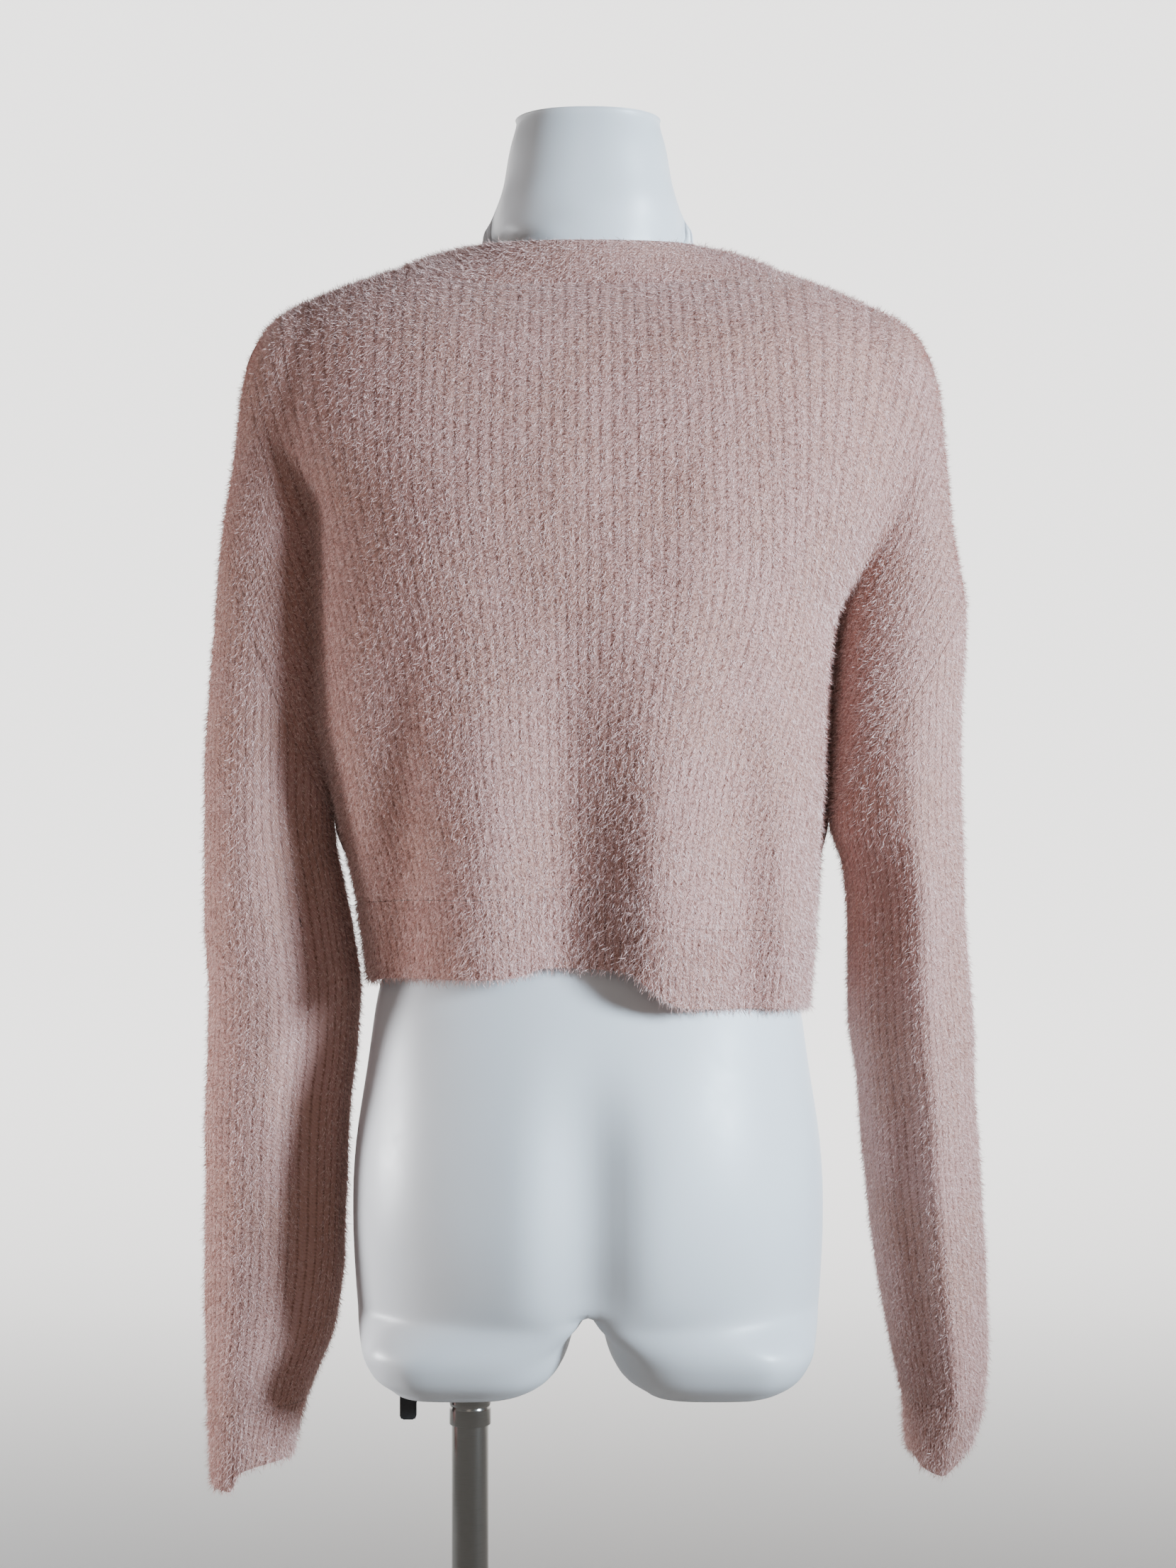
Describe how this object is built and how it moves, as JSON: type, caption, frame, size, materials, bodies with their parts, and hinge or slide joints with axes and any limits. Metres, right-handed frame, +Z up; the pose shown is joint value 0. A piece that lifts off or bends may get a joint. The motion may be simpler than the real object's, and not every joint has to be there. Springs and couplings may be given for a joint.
{
  "type": "cropped rib-knit cardigan worn on a limbless dress form with a pole stand",
  "caption": "Cropped long-sleeved V-neck cardigan in ribbed fuzzy knit with drop shoulders, buttoned down the front and worn on a limbless dress form on a round-based pole stand.",
  "frame": {"origin": "middle of the base plate's underside, under the middle of the dress form", "axes": "+Z up; the cardigan's front faces -Y and its back faces +Y; +X is the wearer's left"},
  "size_m": [0.5028, 0.34, 1.5165],
  "materials": {
    "pink_knit": "fuzzy brushed rib knit, pale dusty pink",
    "pink_resin": "pale pink, softly shiny",
    "white_plastic": "smooth white, faintly bluish, half matt",
    "chromed_steel": "polished",
    "black_plastic": "black, half matt"
  },
  "bodies": {
    "root": {"back": "pink_knit", "front_left": "pink_knit", "front_right": "pink_knit", "sleeve_left": "pink_knit", "sleeve_right": "pink_knit", "cuff_left": "pink_knit", "cuff_right": "pink_knit", "hem_back": "pink_knit", "hem_front_left": "pink_knit", "hem_front_right": "pink_knit", "neckband": "pink_knit", "front_band_left": "pink_knit", "front_band_right": "pink_knit", "button_1": "pink_resin", "button_2": "pink_resin", "button_3": "pink_resin", "button_4": "pink_resin", "button_5": "pink_resin", "dress_form": "white_plastic", "pole": "chromed_steel", "pole_collar": "chromed_steel", "clamp_lever": "black_plastic", "base_plate": "chromed_steel", "base_flange": "chromed_steel"}
  },
  "joints": []
}
